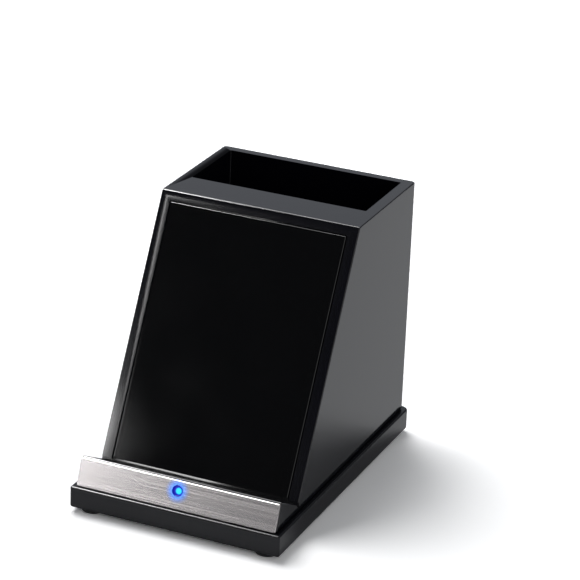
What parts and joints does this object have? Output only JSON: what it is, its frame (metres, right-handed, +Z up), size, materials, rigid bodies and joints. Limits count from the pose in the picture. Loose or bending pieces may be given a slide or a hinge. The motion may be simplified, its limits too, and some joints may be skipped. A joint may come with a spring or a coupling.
{
  "type": "wireless charger pen holder",
  "caption": "Desk stand with a leaning charging panel, a ledge for a phone and a deep open pen cup behind it, on a low plinth.",
  "frame": {"origin": "middle of the footprint, at the feet's soles", "axes": "+Z up, front with the charging panel towards -Y, pen cup towards +Y, +X to the right seen from the front"},
  "size_m": [0.09, 0.132, 0.1121],
  "materials": {
    "moulded_black": "satin black moulding",
    "gloss_black": "high gloss",
    "pad_black": "semi-gloss strip",
    "brushed_metal": "brushed along its length",
    "lens_blue": "lit blue window",
    "foot_rubber": "matt",
    "screw_steel": "plated",
    "winding_copper": "enamelled copper wire",
    "ferrite_grey": "matt sintered",
    "carrier_grey": "moulded",
    "board_green": "solder mask",
    "chip_black": "moulded",
    "capacitor_tan": "fired",
    "plastic_white": "moulded",
    "lead_black": "insulated leads"
  },
  "bodies": {
    "root": {"body_shell": "moulded_black", "charge_panel": "gloss_black", "ledge_pad": "pad_black", "trim_plate": "brushed_metal", "indicator_lens": "lens_blue", "indicator_led": "plastic_white", "indicator_board": "board_green", "indicator_screw_left": "screw_steel", "indicator_screw_right": "screw_steel", "base_tray": "moulded_black", "foot_front_left": "foot_rubber", "foot_front_right": "foot_rubber", "foot_rear_left": "foot_rubber", "foot_rear_right": "foot_rubber", "housing_screw_front_left": "screw_steel", "housing_screw_front_right": "screw_steel", "housing_screw_rear_left": "screw_steel", "housing_screw_rear_right": "screw_steel", "coil_lower": "winding_copper", "coil_upper": "winding_copper", "ferrite_sheet": "ferrite_grey", "coil_carrier": "carrier_grey", "carrier_screw_lower_left": "screw_steel", "carrier_screw_lower_right": "screw_steel", "carrier_screw_upper_left": "screw_steel", "carrier_screw_upper_right": "screw_steel", "main_board": "board_green", "board_screw_front_left": "screw_steel", "board_screw_front_right": "screw_steel", "board_screw_rear_left": "screw_steel", "board_screw_rear_right": "screw_steel", "usb_c_shell": "screw_steel", "usb_c_tongue": "chip_black", "controller_chip": "chip_black", "bridge_chip_left": "chip_black", "bridge_chip_right": "chip_black", "power_inductor": "ferrite_grey", "capacitor_front": "capacitor_tan", "capacitor_middle": "capacitor_tan", "capacitor_rear": "capacitor_tan", "coil_header": "plastic_white", "lamp_header": "plastic_white", "coil_leads": "lead_black", "lamp_leads": "lead_black"}
  },
  "joints": []
}
